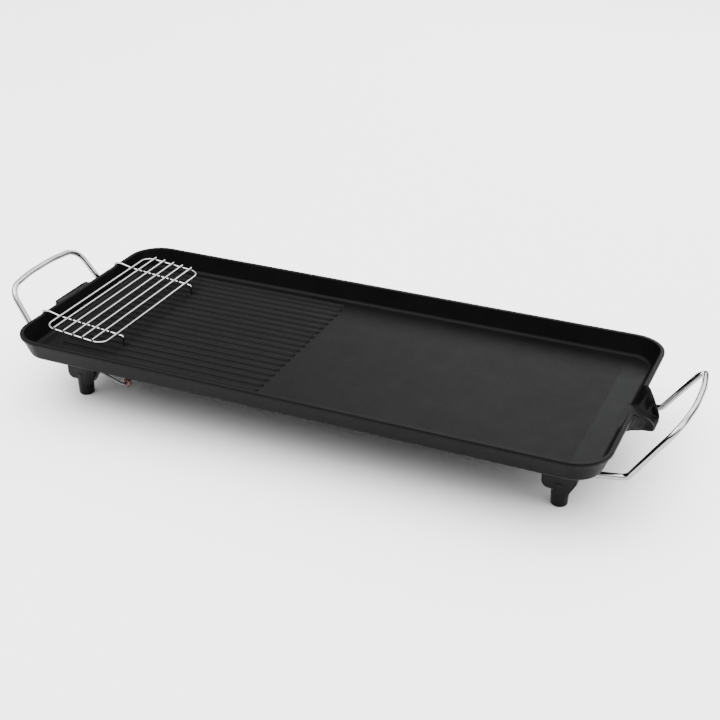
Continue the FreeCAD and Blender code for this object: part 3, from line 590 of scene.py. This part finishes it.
def handleRoute(side):
    h = handle
    half = [((h["seatX"], h["blockY"], h["lowZ"]), 0.0),
            ((h["faceX"], h["blockY"], h["lowZ"]), h["elbowBend"]),
            ((h["elbowX"], h["elbowY"], h["lowZ"]), h["elbowBend"]),
            ((h["gripX"], h["gripY"], h["highZ"]), h["gripBend"]),
            ((h["gripX"] + h["bow"], h["gripY"] / h["bowShare"],
              h["highZ"] + h["bow"] / h["bowShare"]), h["bowBend"])]
    near = [((side * x, -y, z), bend) for (x, y, z), bend in half]
    far = [((side * x, y, z), bend) for (x, y, z), bend in reversed(half)]
    return near + far


handlePieces = {
    "left_handle": ("handleLeft", -1),
    "right_handle": ("handleRight", 1),
}

bentWire = makeBentWireRecipe(wireSizes(handle))
for nodeName, (pieceName, side) in handlePieces.items():
    path = pathMesh(pieceName + "Path", [(handleRoute(side), False)])
    growPiece(bentWire, path, wireSizes(handle), pieceName, [nodeName])


# warming rack: a frame loop on two hooked rails, with cross bars and their weld spots

rack = {
    "wire": 2.5, "sides": 18, "bendSteps": 8,
    "leftX": -297.0, "topZ": 84.5, "width": 72.0, "length": 202.0, "corner": 12.0,
    "drop": 7.0,                           # how much lower the right side hangs
    "sink": 0.2,                           # how far crossing wires are welded into each other
    "bars": 5, "overhang": 1.2,
    "weldSize": 1.5, "weldFlat": 0.75, "weldSegments": 14, "weldRings": 8,
    "railY": 70.8, "bend": 3.0,
    "hookX": -321.55, "hookZ": 76.55,      # the hook's tip outside the rim
    "overZ": 85.55, "lapX": -311.7,        # the run over the rim: its height and inner end
    "hookRun": 1.0, "legGap": 6.5,         # how far a rail runs past the frame at each side
    "footZ": 63.8,
}


def onRack(along, across, lift):
    # a place measured on the tilted frame, from the middle of its left side
    tilt = Matrix.Rotation(math.atan2(rack["drop"], rack["width"]), 3, "Y")
    return Vector((rack["leftX"], 0.0, rack["topZ"])) + tilt @ Vector((along, across, lift))


def rackRoutes():
    half, width = rack["length"] / 2, rack["width"]
    loop = [(onRack(along, across, 0.0), rack["corner"])
            for along, across in ((0.0, -half), (width, -half), (width, half), (0.0, half))]
    routes = [(loop, True)]
    under = rack["sink"] - rack["wire"]
    near, far = onRack(-rack["hookRun"], 0.0, under), onRack(width + rack["legGap"], 0.0, under)
    for y in (-rack["railY"], rack["railY"]):
        points = [(rack["hookX"], y, rack["hookZ"]), (rack["hookX"], y, rack["overZ"]),
                  (rack["lapX"], y, rack["overZ"]), (near.x, y, near.z), (far.x, y, far.z),
                  (far.x, y, rack["footZ"])]
        routes.append(([(point, rack["bend"]) for point in points], False))
    return routes


def makeRackRecipe(sizes):
    # the bars are instances on a line of points, each with a weld spot near either end
    recipe = Recipe("weldedRack", sizes)
    given = recipe.given
    bar = recipe.add("GeometryNodeMeshCylinder", Vertices=given["Sides"], Side_Segments=1,
                     Radius=recipe.maths("DIVIDE", given["Wire Size"], 2.0),
                     Depth=given["Bar Length"])
    bar = recipe.add("GeometryNodeTransform", Geometry=bar, Rotation=(math.pi / 2, 0.0, 0.0))
    blob = recipe.add("GeometryNodeMeshUVSphere", Radius=given["Weld Size"],
                      Segments=rack["weldSegments"], Rings=rack["weldRings"])
    flat = recipe.add("ShaderNodeCombineXYZ", X=1.0, Y=1.0, Z=given["Weld Flatness"])
    drop = recipe.maths("MULTIPLY", given["Weld Drop"], -1.0)
    welds = []
    for side in (-1.0, 1.0):
        reach = recipe.maths("MULTIPLY", given["Weld Reach"], side)
        spot = recipe.add("ShaderNodeCombineXYZ", Y=reach, Z=drop)
        welds.append(recipe.add("GeometryNodeTransform", Geometry=blob, Translation=spot, Scale=flat))
    line = recipe.add("GeometryNodeMeshLine", Count=given["Bar Count"],
                      Start_Location=given["First Bar"], Offset=given["Bar Step"])
    bars = recipe.add("GeometryNodeInstanceOnPoints", Points=line,
                      Instance=recipe.join(bar, *welds))
    recipe.close(recipe.join(recipe.wireAlongPath(), bars))
    return recipe


def makeRack():
    step = rack["width"] / (rack["bars"] + 1)
    lift = rack["wire"] - rack["sink"]
    first, second = onRack(step, 0.0, lift), onRack(2 * step, 0.0, lift)
    sizes = {**wireSizes(rack),
             "Bar Count": rack["bars"], "Bar Length": (rack["length"] + 2 * rack["overhang"]) * mm,
             "Weld Size": rack["weldSize"] * mm, "Weld Flatness": rack["weldFlat"],
             "Weld Reach": rack["length"] / 2 * mm, "Weld Drop": lift / 2 * mm,
             "First Bar": tuple(first * mm), "Bar Step": tuple((second - first) * mm)}
    growPiece(makeRackRecipe(sizes), pathMesh("rackPath", rackRoutes()), sizes, "wireRack",
              ["rack_frame", "rack_bars", "rack_front_rail", "rack_rear_rail"])


makeRack()


# tilt stand: a wire U with a silicone bead at each end of its crossbar

stand = {
    "wire": 3.0, "sides": 20, "bendSteps": 8, "bend": 4.0,
    "pivotX": -262.0, "pivotZ": 51.8, "pinY": 88.5,     # the wire's ends in the brackets
    "arm": 60.2, "halfWidth": 97.5,
    "sag": 19.0,                                        # degrees below level when folded
}

bead = {
    "size": 10.0, "length": 6.0, "edge": 2.4, "bore": 3.1, "placeY": 90.5,
    "grooveDeep": 0.3, "grooveWide": 0.55,
    "turns": 44, "steps": 22,
}


def standToe():
    sag = math.radians(stand["sag"])
    return (stand["pivotX"] + stand["arm"] * math.cos(sag),
            stand["pivotZ"] - stand["arm"] * math.sin(sag))


def standRoute():
    toeX, toeZ = standToe()
    half = [((stand["pivotX"], -stand["pinY"], stand["pivotZ"]), 0.0),
            ((stand["pivotX"], -stand["halfWidth"], stand["pivotZ"]), stand["bend"]),
            ((toeX, -stand["halfWidth"], toeZ), stand["bend"])]
    return half + [((x, -y, z), bend) for (x, y, z), bend in reversed(half)]


path = pathMesh("standPath", [(standRoute(), False)])
growPiece(bentWire, path, wireSizes(stand), "standLoop", ["tilt_stand"])


def beadProfile():
    # distances along the wire and out from it: the round outside, then back along the bore
    half, radius, edge = bead["length"] / 2, bead["size"] / 2, bead["edge"]
    outside = []
    for index in range(bead["steps"] + 1):
        along = -half * math.cos(math.pi * index / bead["steps"])
        past = max(0.0, abs(along) - (half - edge))
        out = radius - edge + math.sqrt(max(0.0, edge * edge - past * past))
        groove = bead["grooveDeep"] * math.exp(-(along / bead["grooveWide"]) ** 2)
        outside.append((along, out - groove))
    return outside + [(half, bead["bore"] / 2), (-half, bead["bore"] / 2)]


def makeBeads():
    form = bmesh.new()
    toeX, toeZ = standToe()
    profile, turns = beadProfile(), bead["turns"]
    for placeY in (-bead["placeY"], bead["placeY"]):
        rings = []
        for turn in range(turns):
            angle = 2 * math.pi * turn / turns
            rings.append([form.verts.new(Vector((toeX + out * math.cos(angle), placeY + along,
                                                 toeZ + out * math.sin(angle))) * mm)
                          for along, out in profile])
        for turn in range(turns):
            here, there = rings[turn], rings[(turn + 1) % turns]
            for index in range(len(profile)):
                after = (index + 1) % len(profile)
                form.faces.new((here[index], here[after], there[after], there[index]))
    bmesh.ops.recalc_face_normals(form, faces=form.faces)
    mesh = bpy.data.meshes.new("beadPair")
    form.to_mesh(mesh)
    form.free()
    mesh.polygons.foreach_set("use_smooth", [True] * len(mesh.polygons))
    mesh.set_sharp_from_angle(angle=smoothing["sharpAngle"])
    mesh.materials.append(finishes["silicone"])
    piece = bpy.data.objects.new("beadPair", mesh)
    bpy.context.scene.collection.objects.link(piece)
    finishPiece(piece, ["stand_beads"])


makeBeads()
print("handles, rack, stand and beads ready")
